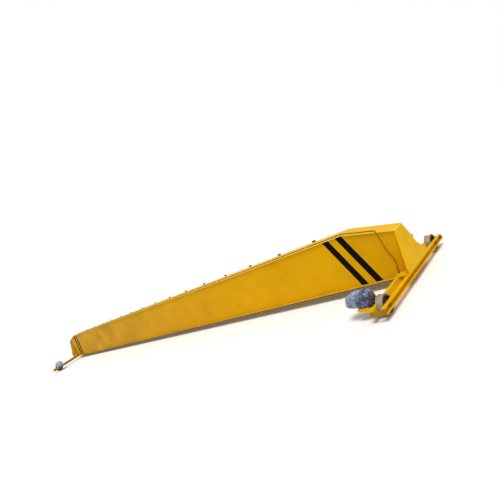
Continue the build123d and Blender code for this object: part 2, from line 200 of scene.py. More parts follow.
class CraneSizes(bpy.types.PropertyGroup):
    """Sizes of what the looks add to the frame."""

    bar_width: length("Bar width", "Width of a hazard bar along the girder", 0.158)
    bar_place: length("Bar place", "Outer bar's middle at floor level, from the girder's middle",
                      9.439)
    bar_pitch: length("Bar pitch", "From one hazard bar to the next", 0.331)
    bar_lean: FloatProperty(name="Bar lean", description="Run of a bar to its rise", default=0.372)
    cover_radius: length("Cover radius", "Radius of the round cover on a gear case", 0.082)
    cover_height: length("Cover height", "Height of the rim of that cover", 0.011)
    bead_radius: length("Bead radius", "Radius of the fillet welds", 0.007)
    bead_pitch: length("Bead pitch", "From ripple to ripple along a weld", 0.022)
    bolt_head: length("Bolt head", "Corner radius of a hexagon head", 0.0090)
    bolt_height: length("Bolt height", "Height of a hexagon head", 0.007)
    washer_radius: length("Washer radius", "Radius of a plain washer", 0.0106)
    washer_height: length("Washer height", "Thickness of a plain washer", 0.0025)
    cap_circle: length("Cap circle", "Radius of the bolt circle of a bearing cap", 0.0325)
    cap_bolts: IntProperty(name="Cap bolts", description="Bolts on a bearing cap", default=6)
    film_cell: length("Film cell", "Mesh cell of the packing film", 0.006)
    film_cling: length("Film cling", "Least distance of the film from what it covers", 0.003)
    film_spare: FloatProperty(name="Film spare", default=0.12,
                              description="Spare film that crumples, as a share of its width")
    film_tail: FloatProperty(name="Film tail", default=0.64,
                             description="Height of the film at its tail, as a share")
    film_reach: length("Film reach", "Most that a crumple moves the film", 0.016)
    cable_diameter: length("Cable diameter", "Diameter of the drive cable", 0.016)


class CraneStage(bpy.types.PropertyGroup):
    """Camera, light and floor."""

    eye: FloatVectorProperty(name="Eye", description="Camera's place", subtype="TRANSLATION",
                             unit="LENGTH", default=(13.3135, -6.549, 2.5041))
    aim: FloatVectorProperty(name="Aim", description="Point that the camera looks at",
                             subtype="TRANSLATION", unit="LENGTH", default=(6.7836, -0.398, 1.7786))
    roll: FloatProperty(name="Roll", description="Turn of the camera about its own axis, clockwise",
                        subtype="ANGLE", default=math.radians(28.47))
    focal: FloatProperty(name="Focal length", description="In pixels of a frame 500 wide",
                         default=380.36)
    sun_strength: FloatProperty(name="Sun", description="Strength of the key light", default=2.5)
    sky_strength: FloatProperty(name="Sky", description="Strength of the soft light all round",
                                default=0.46)
    floor_reach: length("Floor reach", "Half the width of the floor", 160.0)


# Selection and placing

def deselect_all():
    """Leave nothing selected, so that an operator acts on the new piece alone."""
    if bpy.context.object and bpy.context.object.mode != "OBJECT":
        bpy.ops.object.mode_set(mode="OBJECT")
    bpy.ops.object.select_all(action="DESELECT")


def only(piece):
    """Select one piece and make it active."""
    deselect_all()
    piece.select_set(True)
    bpy.context.view_layer.objects.active = piece


def settle(piece, name):
    """Name a piece and put its place into its mesh."""
    piece.name = name
    piece.data.name = name
    only(piece)
    bpy.ops.object.transform_apply(location=True, rotation=True, scale=True)
    return piece


def join(pieces, name):
    """Join several pieces into one with its place in its mesh."""
    deselect_all()
    for piece in pieces:
        piece.select_set(True)
    bpy.context.view_layer.objects.active = pieces[0]
    bpy.ops.object.join()
    return settle(bpy.context.object, name)


def duplicate(piece):
    """Copy of a piece with a mesh of its own."""
    copy = piece.copy()
    copy.data = piece.data.copy()
    bpy.context.scene.collection.objects.link(copy)
    return copy


def stamp(model, places, name):
    """Join copies of a model, one at each place, into one piece."""
    copies = []
    for place in places:
        copy = duplicate(model)
        copy.matrix_world = place
        copies.append(copy)
    return join(copies, name)


def discard(piece):
    """Remove a model that was only copied from."""
    mesh = piece.data
    bpy.data.objects.remove(piece)
    bpy.data.meshes.remove(mesh)


def facing(place, direction):
    """Matrix that turns a model's +Z towards a direction at a place."""
    turn = Vector(direction).to_track_quat("Z", "Y")
    return Matrix.Translation(place) @ turn.to_matrix().to_4x4()


def finish_piece(piece, body, material):
    """Give a piece its finish and let it ride on a body."""
    piece.data.materials.clear()
    piece.data.materials.append(material)
    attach(piece, body)


@contextmanager
def editing(action=None):
    """Edit mode on the active piece, after a change of selection where asked."""
    bpy.ops.object.mode_set(mode="EDIT")
    if action:
        bpy.ops.mesh.select_all(action=action)
    yield
    bpy.ops.object.mode_set(mode="OBJECT")


def adjust(thing, settings):
    """Set several properties of a modifier, a node or the cloth."""
    for key, value in settings.items():
        setattr(thing, key, value)


def apply_modifier(piece, kind, **settings):
    """Add a modifier to a piece, set it and apply it."""
    only(piece)
    modifier = piece.modifiers.new(kind.title(), kind)
    adjust(modifier, settings)
    bpy.ops.object.modifier_apply(modifier=modifier.name)


# Node trees

def put(tree, kind, inputs=None, **settings):
    """Add a node, set its properties and fill or link its inputs."""
    node = tree.nodes.new(kind)
    adjust(node, settings)
    for key, value in (inputs or {}).items():
        if isinstance(value, bpy.types.NodeSocket):
            tree.links.new(value, node.inputs[key])
        else:
            node.inputs[key].default_value = value
    return node


def object_place(tree):
    """Output of the object's own coordinates."""
    return put(tree, "ShaderNodeTexCoord").outputs["Object"]


def facing_up(tree):
    """Output of how far a face looks up, from -1 to 1."""
    normal = put(tree, "ShaderNodeNewGeometry").outputs["Normal"]
    return put(tree, "ShaderNodeSeparateXYZ", {0: normal}).outputs["Z"]


def rgba(value):
    """Colour setting with full opacity."""
    return (*value, 1.0)


def shade(value, share):
    """Darker tone of a colour setting."""
    return rgba([share * part for part in value])


def math_node(tree, operation, first, second=0.0):
    """Output of a Math node on two values or sockets."""
    return put(tree, "ShaderNodeMath", {0: first, 1: second}, operation=operation).outputs[0]


def blend_colour(tree, share, under, over):
    """Output of a colour mix."""
    node = put(tree, "ShaderNodeMix", {0: share, 6: under, 7: over}, data_type="RGBA")
    return node.outputs[2]


def spread(tree, value, low, high, to_low=0.0, to_high=1.0):
    """Output of a clamped Map Range node."""
    node = put(tree, "ShaderNodeMapRange", {0: value, 1: low, 2: high, 3: to_low, 4: to_high})
    return node.outputs[0]


def noise(tree, where, scale, detail=4.0, roughness=0.55):
    """Output of a noise texture."""
    node = put(tree, "ShaderNodeTexNoise",
               {"Vector": where, "Scale": scale, "Detail": detail, "Roughness": roughness})
    return node.outputs["Fac"]


def new_group(name, inputs, outputs):
    """Shader node group with value sockets; returns the tree, its input node and output node."""
    tree = bpy.data.node_groups.new(name, "ShaderNodeTree")
    for label, value in inputs:
        socket = tree.interface.new_socket(name=label, in_out="INPUT",
                                           socket_type="NodeSocketFloat")
        socket.default_value = value
    for label in outputs:
        tree.interface.new_socket(name=label, in_out="OUTPUT", socket_type="NodeSocketFloat")
    return tree, tree.nodes.new("NodeGroupInput"), tree.nodes.new("NodeGroupOutput")


def plate_surface_group():
    """Height of rolled plate under enamel: weld-drawn waves and a fine peel."""
    tree, given, result = new_group("Plate Surface", (("Wave", 0.6), ("Peel", 0.05)), ("Height",))
    where = object_place(tree)
    wave = math_node(tree, "MULTIPLY", noise(tree, where, 1.6, 2.0), given.outputs["Wave"])
    peel = math_node(tree, "MULTIPLY", noise(tree, where, 95.0, 2.0), given.outputs["Peel"])
    tree.links.new(math_node(tree, "ADD", wave, peel), result.inputs["Height"])
    return tree


def weather_group():
    """Masks of grime patches, vertical runs and settled dust."""
    tree, given, result = new_group(
        "Weather", (("Grime", 0.5), ("Runs", 0.4), ("Dust", 0.5), ("Scale", 2.3)),
        ("Grime", "Runs", "Dust"))
    where = object_place(tree)
    patches = spread(tree, noise(tree, where, given.outputs["Scale"], 8.0, 0.68), 0.50, 0.78)
    grime = math_node(tree, "MULTIPLY", patches, given.outputs["Grime"])
    tree.links.new(grime, result.inputs["Grime"])
    drawn = put(tree, "ShaderNodeMapping", {"Vector": where, "Scale": (11.0, 11.0, 0.7)}).outputs[0]
    runs = spread(tree, noise(tree, drawn, 1.0, 5.0, 0.6), 0.56, 0.80)
    runs = math_node(tree, "MULTIPLY", runs, given.outputs["Runs"])
    tree.links.new(runs, result.inputs["Runs"])
    lying = spread(tree, facing_up(tree), 0.35, 0.95)
    cover = spread(tree, noise(tree, where, 6.0, 6.0), 0.35, 0.75)
    settled = math_node(tree, "MULTIPLY", lying, cover)
    dust = math_node(tree, "MULTIPLY", settled, given.outputs["Dust"])
    tree.links.new(dust, result.inputs["Dust"])
    return tree


def edge_chips_group():
    """Mask of paint chipped off along sharp edges."""
    tree, given, result = new_group("Edge Chips", (("Width", 0.004), ("Amount", 0.6)), ("Chips",))
    where = object_place(tree)
    rounded = put(tree, "ShaderNodeBevel", {"Radius": given.outputs["Width"]}, samples=4).outputs[0]
    normal = put(tree, "ShaderNodeNewGeometry").outputs["Normal"]
    along = put(tree, "ShaderNodeVectorMath", {0: rounded, 1: normal}, operation="DOT_PRODUCT")
    edge = spread(tree, along.outputs["Value"], 0.99, 0.80)
    broken = spread(tree, noise(tree, where, 21.0, 6.0, 0.7), 0.53, 0.62)
    chips = math_node(tree, "MULTIPLY", edge, broken)
    chips = math_node(tree, "MULTIPLY", chips, given.outputs["Amount"])
    tree.links.new(chips, result.inputs["Chips"])
    return tree


def groups():
    """The shared effects, built once."""
    made = bpy.data.node_groups
    return {
        "surface": made.get("Plate Surface") or plate_surface_group(),
        "weather": made.get("Weather") or weather_group(),
        "chips": made.get("Edge Chips") or edge_chips_group(),
    }


def use_group(tree, group, **values):
    """Place a shared effect in a material with its own values."""
    node = tree.nodes.new("ShaderNodeGroup")
    node.node_tree = group
    for label, value in values.items():
        node.inputs[label].default_value = value
    return node


def new_material(name):
    """Empty material with a Principled shader; returns the material, its tree and the shader."""
    material = bpy.data.materials.new(name)
    material.use_nodes = True
    shader = next(node for node in material.node_tree.nodes if node.type == "BSDF_PRINCIPLED")
    return material, material.node_tree, shader


def add_bump(tree, shader, height, distance):
    """Bump on a shader from a height in metres times a distance."""
    bump = put(tree, "ShaderNodeBump", {"Height": height, "Distance": distance, "Strength": 1.0})
    tree.links.new(bump.outputs[0], shader.inputs["Normal"])


# Materials

def hazard_bars(tree, where):
    """Mask of the two leaning bars near each end of a web."""
    sizes = bpy.context.scene.crane_sizes
    axes = put(tree, "ShaderNodeSeparateXYZ", {0: where}).outputs
    lean = math_node(tree, "MULTIPLY", axes["Z"], sizes.bar_lean)
    along = math_node(tree, "ADD", math_node(tree, "ABSOLUTE", axes["X"]), lean)
    half = sizes.bar_width / 2
    masks = []
    for number in range(2):
        middle = sizes.bar_place - number * sizes.bar_pitch
        away = math_node(tree, "ABSOLUTE", math_node(tree, "SUBTRACT", along, middle))
        masks.append(spread(tree, away, half + BAR_FADE, half - BAR_FADE))
    return math_node(tree, "MAXIMUM", masks[0], masks[1])


def left_shade_mask(tree, where):
    """Mask of painted shade that deepens towards the left end."""
    along = put(tree, "ShaderNodeSeparateXYZ", {0: where}).outputs["X"]
    left_shade = spread(tree, along, CAD_BOX[1].x * SHADE_START, CAD_BOX[0].x * SHADE_FULL, 0.0, SHADE_MOST)
    return math_node(tree, "MULTIPLY", left_shade, spread(tree, noise(tree, where, 1.3, 6.0), 0.25, 0.65))


def painted_edge_shading(tree, where, amount):
    """Mask of the upright side faces of a plate, in patches, where light is painted along the edges.
    """
    level = math_node(tree, "ABSOLUTE", facing_up(tree))
    edge_patches = spread(tree, noise(tree, where, 5.0, 6.0), 0.25, 0.55, 0.7 * amount, amount)
    return math_node(tree, "MULTIPLY", spread(tree, level, 0.7, 0.3), edge_patches)


def enamel_material(name, base, bars=False, grime=0.22, dust=0.10, wave=0.6, patch=2.3, edges=0.0,
                    edge_shading_tone=None):
    """Yellow enamel on steel plate, weathered, with painted shade towards the left end, hazard bars,
    and painted light on the upright edges where asked.
    """
    colours = bpy.context.scene.crane_colours
    shared = groups()
    material, tree, shader = new_material(name)
    where = object_place(tree)
    weather = use_group(tree, shared["weather"], Grime=grime, Runs=0.14, Dust=dust, Scale=patch)
    chips = use_group(tree, shared["chips"], Width=0.004, Amount=0.75)
    surface = use_group(tree, shared["surface"], Wave=wave, Peel=0.012)
    coat = spread(tree, noise(tree, where, 0.9, 5.0, 0.6), 0.36, 0.66)
    paint = blend_colour(tree, coat, rgba(base), shade(base, 0.92))
    # painted shade: the enamel turns browner towards the left end; the same mask also roughens it
    left_shade = left_shade_mask(tree, where)
    dust_and_left_shade = math_node(tree, "MAXIMUM", weather.outputs["Dust"], left_shade)
    dirty = math_node(tree, "MAXIMUM", weather.outputs["Grime"], weather.outputs["Runs"])
    paint = blend_colour(tree, dirty, paint, rgba(colours.grime))
    paint = blend_colour(tree, weather.outputs["Dust"], paint, rgba(colours.dust))
    paint = blend_colour(tree, left_shade, paint, rgba(colours.left_shade))
    if bars:
        paint = blend_colour(tree, hazard_bars(tree, where), paint, rgba(colours.bar))
    # painted light on the upright edges: pale for a highlight, dark for a shadow, by the tone given
    if edges:
        paint = blend_colour(tree, painted_edge_shading(tree, where, edges), paint, rgba(edge_shading_tone))
    paint = blend_colour(tree, chips.outputs["Chips"], paint, rgba(colours.primer))
    tree.links.new(paint, shader.inputs["Base Color"])
    rough = spread(tree, math_node(tree, "ADD", dirty, dust_and_left_shade), 0.0, 1.0, 0.36, 0.75)
    tree.links.new(rough, shader.inputs["Roughness"])
    shader.inputs["Specular IOR Level"].default_value = 0.025
    add_bump(tree, shader, surface.outputs["Height"], distance=0.004)
    return material


def cast_paint_material(name, base, grease_amount):
    """Satin paint on a rough casting, greasy in patches."""
    colours = bpy.context.scene.crane_colours
    shared = groups()
    material, tree, shader = new_material(name)
    where = object_place(tree)
    weather = use_group(tree, shared["weather"], Grime=grease_amount, Runs=0.35, Dust=0.40,
                        Scale=9.0)
    chips = use_group(tree, shared["chips"], Width=0.003, Amount=0.7)
    tone = spread(tree, noise(tree, where, 14.0, 5.0), 0.3, 0.7)
    paint = blend_colour(tree, tone, rgba(base), shade(base, 0.75))
    oily = math_node(tree, "MAXIMUM", weather.outputs["Grime"], weather.outputs["Runs"])
    paint = blend_colour(tree, oily, paint, rgba(colours.grease))
    paint = blend_colour(tree, weather.outputs["Dust"], paint, rgba(colours.soil))
    # partly chipped paint, partly painted highlight: bright steel along the casting's edges
    paint = blend_colour(tree, chips.outputs["Chips"], paint, rgba(colours.bright))
    tree.links.new(paint, shader.inputs["Base Color"])
    tree.links.new(spread(tree, oily, 0.0, 1.0, 0.48, 0.25), shader.inputs["Roughness"])
    bare = math_node(tree, "MULTIPLY", chips.outputs["Chips"], 0.9)
    tree.links.new(bare, shader.inputs["Metallic"])
    add_bump(tree, shader, noise(tree, where, 220.0, 3.0), distance=0.0008)
    return material


def wheel_material():
    """Cast wheel: dark flanks, tread and flange faces worn bright, grease at the hub."""
    colours = bpy.context.scene.crane_colours
    material, tree, shader = new_material("Wheel Iron")
    where = object_place(tree)
    axes = put(tree, "ShaderNodeSeparateXYZ", {0: where}).outputs
    across = math_node(tree, "SUBTRACT", math_node(tree, "ABSOLUTE", axes["Y"]), WHEEL_OFFSET)
    upward = math_node(tree, "SUBTRACT", axes["Z"], AXLE_HEIGHT)
    radius = math_node(tree, "SQRT", math_node(tree, "ADD", math_node(tree, "POWER", across, 2.0),
                                               math_node(tree, "POWER", upward, 2.0)))
    tread = (WHEEL_HIGH.z - WHEEL_LOW.z) / 2 - WHEEL_FLANGE_RISE
    worn = spread(tree, radius, *(tread - depth for depth in TREAD_FADE))
    patchy = spread(tree, noise(tree, where, 30.0, 6.0), 0.25, 0.6, 0.45, 1.0)
    shine = math_node(tree, "MULTIPLY", worn, patchy)
    greasy = math_node(tree, "MULTIPLY", spread(tree, radius, *HUB_GREASE),
                       spread(tree, noise(tree, where, 18.0, 5.0), 0.3, 0.6))
    metal = blend_colour(tree, shine, rgba(colours.iron), rgba(colours.tread))
    metal = blend_colour(tree, greasy, metal, rgba(colours.grease))
    tree.links.new(metal, shader.inputs["Base Color"])
    tree.links.new(spread(tree, shine, 0.0, 1.0, 0.66, 0.48), shader.inputs["Roughness"])
    tree.links.new(spread(tree, shine, 0.0, 1.0, 0.15, 0.45), shader.inputs["Metallic"])
    add_bump(tree, shader, noise(tree, where, 160.0, 4.0), distance=0.001)
    return material


def steel_material(name, base, rough, metallic):
    """Bare steel with fine scratches and dull patches."""
    colours = bpy.context.scene.crane_colours
    material, tree, shader = new_material(name)
    where = object_place(tree)
    dull = spread(tree, noise(tree, where, 26.0, 6.0), 0.35, 0.70)
    metal = blend_colour(tree, dull, rgba(base), shade(base, 0.55))
    stained = spread(tree, noise(tree, where, 9.0, 6.0), 0.62, 0.74)
    metal = blend_colour(tree, stained, metal, rgba(colours.grime))
    tree.links.new(metal, shader.inputs["Base Color"])
    roughness = spread(tree, dull, 0.0, 1.0, rough, min(1.0, rough + 0.25))
    tree.links.new(roughness, shader.inputs["Roughness"])
    shader.inputs["Metallic"].default_value = metallic
    add_bump(tree, shader, noise(tree, where, 300.0, 2.0), distance=0.0004)
    return material


def film_material():
    """Crumpled packing film: pale where it stands off, deep where it clings."""
    colours = bpy.context.scene.crane_colours
    material, tree, shader = new_material("Packing Film")
    where = object_place(tree)
    axes = put(tree, "ShaderNodeSeparateXYZ", {0: where}).outputs
    along = math_node(tree, "ABSOLUTE", axes["X"])
    inwards = spread(tree, along, COWL_LOW.x + CLING_START, CASE_LOW.x, -0.08, 0.17)
    lying = math_node(tree, "ADD", noise(tree, where, 4.5, 3.0, 0.5), inwards)
    cling = spread(tree, lying, 0.46, 0.70)
    folds, creases = (
        put(tree, "ShaderNodeTexNoise",
            {"Vector": where, "Scale": scale, "Detail": 3.0, "Distortion": 0.6, "Offset": 1.0,
             "Gain": 2.0},
            noise_type="RIDGED_MULTIFRACTAL", normalize=False).outputs[0]
        for scale in (6.5, 19.0))
    # painted highlight: the film turns pale along the ridges of its folds, where the bump rises
    crease_highlight = math_node(tree, "MULTIPLY", spread(tree, folds, 1.0, 1.9), 0.5)
    tone = blend_colour(tree, cling, rgba(colours.film_pale), rgba(colours.film_deep))
    tone = blend_colour(tree, crease_highlight, tone, rgba(colours.film_crease_highlight))
    tree.links.new(tone, shader.inputs["Base Color"])
    tree.links.new(spread(tree, cling, 0.0, 1.0, 0.34, 0.20), shader.inputs["Roughness"])
    shader.inputs["Coat Weight"].default_value = 0.3
    shader.inputs["Coat Roughness"].default_value = 0.08
    fine = math_node(tree, "ADD", folds, math_node(tree, "MULTIPLY", creases, 0.5))
    add_bump(tree, shader, fine, distance=0.012)
    return material


def rubber_material(name, base):
    """Matt rubber or moulded plastic with a little dust."""
    colours = bpy.context.scene.crane_colours
    material, tree, shader = new_material(name)
    where = object_place(tree)
    weather = use_group(tree, groups()["weather"], Dust=0.3)
    tone = blend_colour(tree, weather.outputs["Dust"], rgba(base), rgba(colours.grime))
    tree.links.new(tone, shader.inputs["Base Color"])
    rough = spread(tree, noise(tree, where, 40.0), 0.3, 0.7, 0.5, 0.75)
    tree.links.new(rough, shader.inputs["Roughness"])
    shader.inputs["Specular IOR Level"].default_value = 0.1
    add_bump(tree, shader, noise(tree, where, 400.0, 2.0), distance=0.0005)
    return material


def shared_material(name, maker, *values, **settings):
    """A material by name, made on its first use."""
    return bpy.data.materials.get(name) or maker(name, *values, **settings)


def paint_node(node, material):
    """Put a finish on a frame node."""
    NODES[node].data.materials.clear()
    NODES[node].data.materials.append(material)


# Operators, one for each group of pieces

class CRANE_OT_finishes(bpy.types.Operator):
    """Put paint, metal and rubber on the frame's own pieces"""

    bl_idname = "crane.finishes"
    bl_label = "Finishes"

    def execute(self, context):
        colours = context.scene.crane_colours
        webs = enamel_material("Web Enamel", colours.web_enamel, bars=True)
        # painted shadow: the upright edges of the lips darken to the hazard-bar black
        lips = enamel_material("Lip Enamel", colours.lip_enamel, grime=0.30, edges=0.95,
                               edge_shading_tone=colours.bar)
        # painted light: end plates, carriages and brackets take a brighter copy of the web enamel
        plates = enamel_material("Plate Enamel", colours.lit_plate_enamel, grime=0.28)
        # partly soot, partly painted shade: heavy grime darkens the closing plates and caps
        worn = enamel_material("Worn Enamel", colours.soot_and_shade_enamel, grime=0.95, dust=0.25, wave=0.2,
                               patch=13.0)
        # painted light: a brighter copy of the web enamel, with painted highlights on the upright
        # edges
        flanges = enamel_material("Flange Enamel", colours.lit_flange_enamel, grime=0.12, dust=0.16,
                                  edges=0.9, edge_shading_tone=colours.edge_highlight)
        gear = cast_paint_material("Gearbox Paint", colours.cast_grey, grease_amount=0.55)
        motor = cast_paint_material("Motor Paint", colours.motor_blue, grease_amount=0.35)
        wheel = wheel_material()
        steel = steel_material("Turned Steel", colours.bright, rough=0.32, metallic=1.0)
        mill = steel_material("Mill Steel", colours.mill, rough=0.6, metallic=0.4)
        sheath = rubber_material("Cable Sheath", colours.sheath)
        gland = rubber_material("Gland Plastic", colours.gland)
        starts = {
            "girder_web": webs, "girder_bottom": lips, "girder_top": flanges,
            "girder_sloping": flanges, "girder_end": plates, "carriage_": plates,
            # closing plates and bearing caps: enamel darkened partly by soot, partly as painted shade
            "carriage_front": worn, "carriage_back": worn, "bearing_caps": worn,
            "motor_bracket": plates, "cable_clips": flanges, "gear_case": gear, "drive_motor": motor,
            "fan_cowl": motor, "terminal_box": motor, "wheel_": wheel, "axle_": steel,
            "flange_cleats": mill, "cable_run": sheath, "cable_drop": sheath, "cable_gland": gland,
            "motor_film": sheath,
        }
        for node in NODES:
            for start, material in starts.items():
                if node.startswith(start):
                    paint_node(node, material)
        return {"FINISHED"}


def bead_model():
    """One ripple of a fillet weld, along +Z."""
    sizes = bpy.context.scene.crane_sizes
    deselect_all()
    bpy.ops.mesh.primitive_cone_add(
        vertices=7, radius1=sizes.bead_radius, radius2=BEAD_TAPER * sizes.bead_radius,
        depth=BEAD_OVERLAP * sizes.bead_pitch)
    ripple = bpy.context.object
    with editing("SELECT"):
        bpy.ops.mesh.bevel(offset=BEAD_EDGE * sizes.bead_radius, segments=1)
    return ripple


def weld_bead(ripple, start, end):
    """Row of ripples from one point to another."""
    sizes = bpy.context.scene.crane_sizes
    start, end = Vector(start), Vector(end)
    count = max(2, int((end - start).length / sizes.bead_pitch))
    bead = duplicate(ripple)
    apply_modifier(bead, "ARRAY", count=count, use_relative_offset=False, use_constant_offset=True,
                   constant_offset_displace=(0.0, 0.0, (end - start).length / count))
    bead.matrix_world = facing(start, end - start)
    return settle(bead, "bead")


class CRANE_OT_weld_beads(bpy.types.Operator):
    """Lay fillet welds along the webs, flanges and end plates"""

    bl_idname = "crane.weld_beads"
    bl_label = "Weld Beads"

    def execute(self, context):
        colours = context.scene.crane_colours
        # painted light: the welds take the brighter plate copy of the web enamel
        material = shared_material("Weld Enamel", enamel_material, colours.lit_plate_enamel, grime=0.5,
                                   wave=0.2)
        ripple = bead_model()
        fold = TOP_HIGH.x
        under_top = TOP_LOW.z
        fall = (TOP_LOW.z - SLOPE_LOW.z) / (SLOPE_HIGH.x - fold)
        end_top = SLOPE_LOW.z + fall * (SLOPE_HIGH.x - WEB_HIGH.x)
        low, high = SEAT_LOW.z, SEAT_HIGH.z
        for side, way in (("front", -1), ("back", 1)):
            y = way * abs(WEB_LOW.y)
            runs = [
                ((-fold, y, under_top), (fold, y, under_top)),
                ((-BOTTOM_HIGH.x, y, BOTTOM_HIGH.z), (BOTTOM_HIGH.x, y, BOTTOM_HIGH.z)),
            ]
            foot_y = SEAT_LOW.y if side == "front" else SEAT_HIGH.y
            for _, sign in ENDS:
                corner, inner = sign * WEB_HIGH.x, sign * SEAT_LOW.x
                runs += [
                    ((sign * fold, y, under_top), (corner, y, end_top)),
                    ((inner, y, high), (corner, y, high)),
                    ((corner, y, high), (corner, y, end_top)),
                    ((corner, y, high), (corner, foot_y, high)),
                    ((inner, foot_y, low), (corner, foot_y, low)),
                ]
            beads = [weld_bead(ripple, *run) for run in runs]
            finish_piece(join(beads, f"weld_beads_{side}"), "bridge", material)
        discard(ripple)
        return {"FINISHED"}


def bolt_model():
    """Hexagon bolt head on a plain washer, standing on z = 0."""
    sizes = bpy.context.scene.crane_sizes
    deselect_all()
    bpy.ops.mesh.primitive_cylinder_add(
        vertices=20, radius=sizes.washer_radius, depth=sizes.washer_height,
        location=(0, 0, sizes.washer_height / 2))
    washer = bpy.context.object
    bpy.ops.mesh.primitive_cylinder_add(
        vertices=6, radius=sizes.bolt_head, depth=sizes.bolt_height,
        location=(0, 0, sizes.washer_height + sizes.bolt_height / 2))
    head = bpy.context.object
    with editing("SELECT"):
        bpy.ops.mesh.bevel(offset=0.09 * sizes.bolt_head, segments=2)
    return join([washer, head], "bolt_model")


class CRANE_OT_carriage_bolts(bpy.types.Operator):
    """Fasten the bearing caps and closing plates of the carriages"""

    bl_idname = "crane.carriage_bolts"
    bl_label = "Carriage Bolts"

    def execute(self, context):
        sizes = context.scene.crane_sizes
        colours = context.scene.crane_colours
        # the bolts take the enamel darkened partly by soot, partly as painted shade
        material = shared_material("Bolt Enamel", enamel_material, colours.soot_and_shade_enamel, grime=0.6,
                                   wave=0.1, patch=30.0)
        bolt = bolt_model()
        caps = ((CAP_HIGH.x, -WHEEL_OFFSET, 1), (CAP_HIGH.x, WHEEL_OFFSET, 1),
                (CAP_LOW.x, WHEEL_OFFSET, -1))
        span = CLOSING_HIGH - CLOSING_LOW
        for end, sign in ENDS:
            places = []
            for cap_x, cap_y, outwards in caps:
                for number in range(sizes.cap_bolts):
                    turn = math.tau * number / sizes.cap_bolts
                    place = (sign * cap_x, cap_y + sizes.cap_circle * math.cos(turn),
                             AXLE_HEIGHT + sizes.cap_circle * math.sin(turn))
                    places.append(facing(place, (sign * outwards, 0, 0)))
            for face_y, way in ((CLOSING_LOW.y, -1), (-CLOSING_LOW.y, 1)):
                for across in CLOSING_BOLTS_ACROSS:
                    for height in CLOSING_BOLTS_UP:
                        place = (sign * (CLOSING_LOW.x + across * span.x), face_y,
                                 CLOSING_LOW.z + height * span.z)
                        places.append(facing(place, (0, way, 0)))
            bolts = stamp(bolt, places, f"carriage_bolts_{end}")
            finish_piece(bolts, "bridge", material)
        discard(bolt)
        return {"FINISHED"}


def cover_model():
    """Round cover with a rim, a sunk ring and a hub, standing on z = 0."""
    sizes = bpy.context.scene.crane_sizes
    deselect_all()
    bpy.ops.mesh.primitive_cylinder_add(
        vertices=48, radius=sizes.cover_radius, depth=sizes.cover_height,
        location=(0, 0, sizes.cover_height / 2))
    cover = settle(bpy.context.object, "cover_model")
    for face in cover.data.polygons:
        face.select = face.normal.z > 0.9
    with editing():
        for inset, rise in COVER_STEPS:
            bpy.ops.mesh.inset(thickness=inset * sizes.cover_radius)
            bpy.ops.transform.translate(value=(0, 0, rise * sizes.cover_height))
    apply_modifier(cover, "BEVEL", width=COVER_EDGE, segments=2, limit_method="ANGLE")
    bpy.ops.object.shade_smooth_by_angle(angle=COVER_SMOOTHING)
    return cover


class CRANE_OT_drive_bolts(bpy.types.Operator):
    """Put covers and bolts on the gear cases"""

    bl_idname = "crane.drive_bolts"
    bl_label = "Covers and Drive Bolts"

    def execute(self, context):
        sizes = context.scene.crane_sizes
        colours = context.scene.crane_colours
        material = shared_material("Bolt Steel", steel_material, colours.bright, rough=0.4,
                                   metallic=0.9)
        paint = bpy.data.materials["Gearbox Paint"]
        bolt, cover = bolt_model(), cover_model()
        ring = AXLE_HEIGHT - CASE_LOW.z - CASE_BOLT_INSET
        for end, sign in ENDS:
            hub = Vector((sign * CHANNEL_LOW.x, -WHEEL_OFFSET, MOTOR_HEIGHT))
            round_cover = stamp(cover, [facing(hub, (sign, 0, 0))], f"gear_case_cover_{end}")
            finish_piece(round_cover, "bridge", paint)
            places = []
            for number in range(COVER_BOLTS):
                turn = math.tau * (number + 0.5) / COVER_BOLTS
                rim = Vector((sign * sizes.cover_height, math.cos(turn), math.sin(turn)))
                rim.yz *= COVER_BOLT_CIRCLE * sizes.cover_radius
                places.append(facing(hub + rim, (sign, 0, 0)))
            for degrees in CASE_BOLT_ANGLES:
                turn = math.radians(degrees)
                place = (sign * CASE_LOW.x, -WHEEL_OFFSET + ring * math.cos(turn),
                         AXLE_HEIGHT + ring * math.sin(turn))
                places.append(facing(place, (-sign, 0, 0)))
            bolts = stamp(bolt, places, f"gear_case_bolts_{end}")
            finish_piece(bolts, "bridge", material)
        discard(bolt)
        discard(cover)
        return {"FINISHED"}


def even_skin(piece, cell):
    """One closed skin of even faces."""
    apply_modifier(piece, "REMESH", mode="VOXEL", voxel_size=cell)


def covered_model(end):
    """Tight wrapping of the drive under the film at one end."""
    copies = []
    for name in ("drive_motor", "fan_cowl", "terminal_box"):
        copy = bpy.data.objects.new(name, NODES[f"{name}_{end}"].data.copy())
        bpy.context.scene.collection.objects.link(copy)
        copies.append(copy)
    covered = join(copies, "covered_model")
    with editing("SELECT"):
        bpy.ops.mesh.convex_hull()
        bpy.ops.mesh.normals_make_consistent(inside=False)
    even_skin(covered, COVERED_CELL)
    apply_modifier(covered, "DISPLACE", strength=COVERED_SWELL, mid_level=0.0)
    return covered


